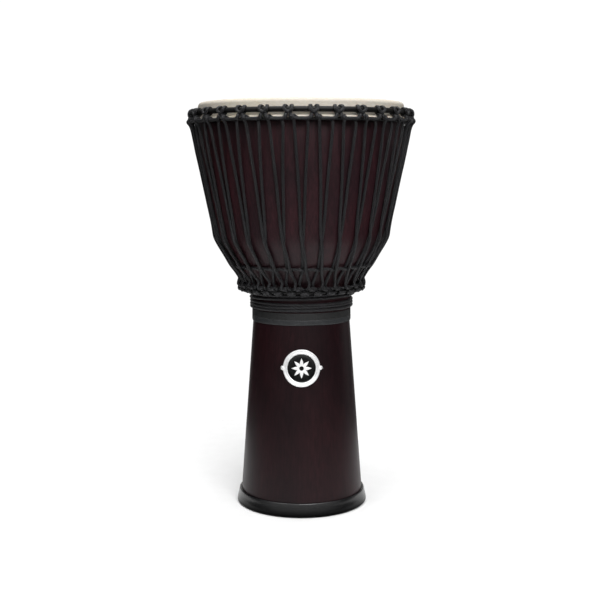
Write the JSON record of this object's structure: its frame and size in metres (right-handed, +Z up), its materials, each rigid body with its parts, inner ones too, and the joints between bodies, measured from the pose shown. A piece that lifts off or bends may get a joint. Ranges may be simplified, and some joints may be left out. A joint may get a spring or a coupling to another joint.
{
  "type": "djembe",
  "caption": "Goblet hand drum with a rope-laced skin head, wooden bowl and conical stem, metal rings, rubber foot and a plain round badge.",
  "frame": {"origin": "centre of the round base, on the surface that the drum stands on", "axes": "+Z up along the drum's axis towards the head, -Y towards the badge at the front, +X to the right seen from the front"},
  "size_m": [0.354, 0.3532, 0.635],
  "materials": {
    "shell_wood": "dark maroon brown satin lacquer",
    "foot_rubber": "black moulded rubber with a soft shine",
    "band_rubber": "matte black",
    "head_hide": "cream shaved goat hide, matte",
    "hoop_steel": "plain steel rod",
    "ring_black": "black powder coat, semi-gloss",
    "rope_black": "braided black polyester",
    "badge_metal": "polished plated rim",
    "badge_black": "black gloss enamel"
  },
  "bodies": {
    "root": {"bowl_shell": "shell_wood", "stem_shell": "shell_wood", "rubber_foot": "foot_rubber", "neck_band": "band_rubber", "head_skin": "head_hide", "flesh_hoop": "hoop_steel", "crown_ring": "ring_black", "bottom_ring": "ring_black", "top_cradle_rope": "rope_black", "bottom_cradle_rope": "rope_black", "lacing_rope": "rope_black", "weave_rope": "rope_black", "neck_wrap_rope": "rope_black", "badge_plate": "badge_metal", "badge_inlay": "badge_black", "badge_rivet_left": "badge_metal", "badge_rivet_right": "badge_metal"}
  },
  "joints": []
}
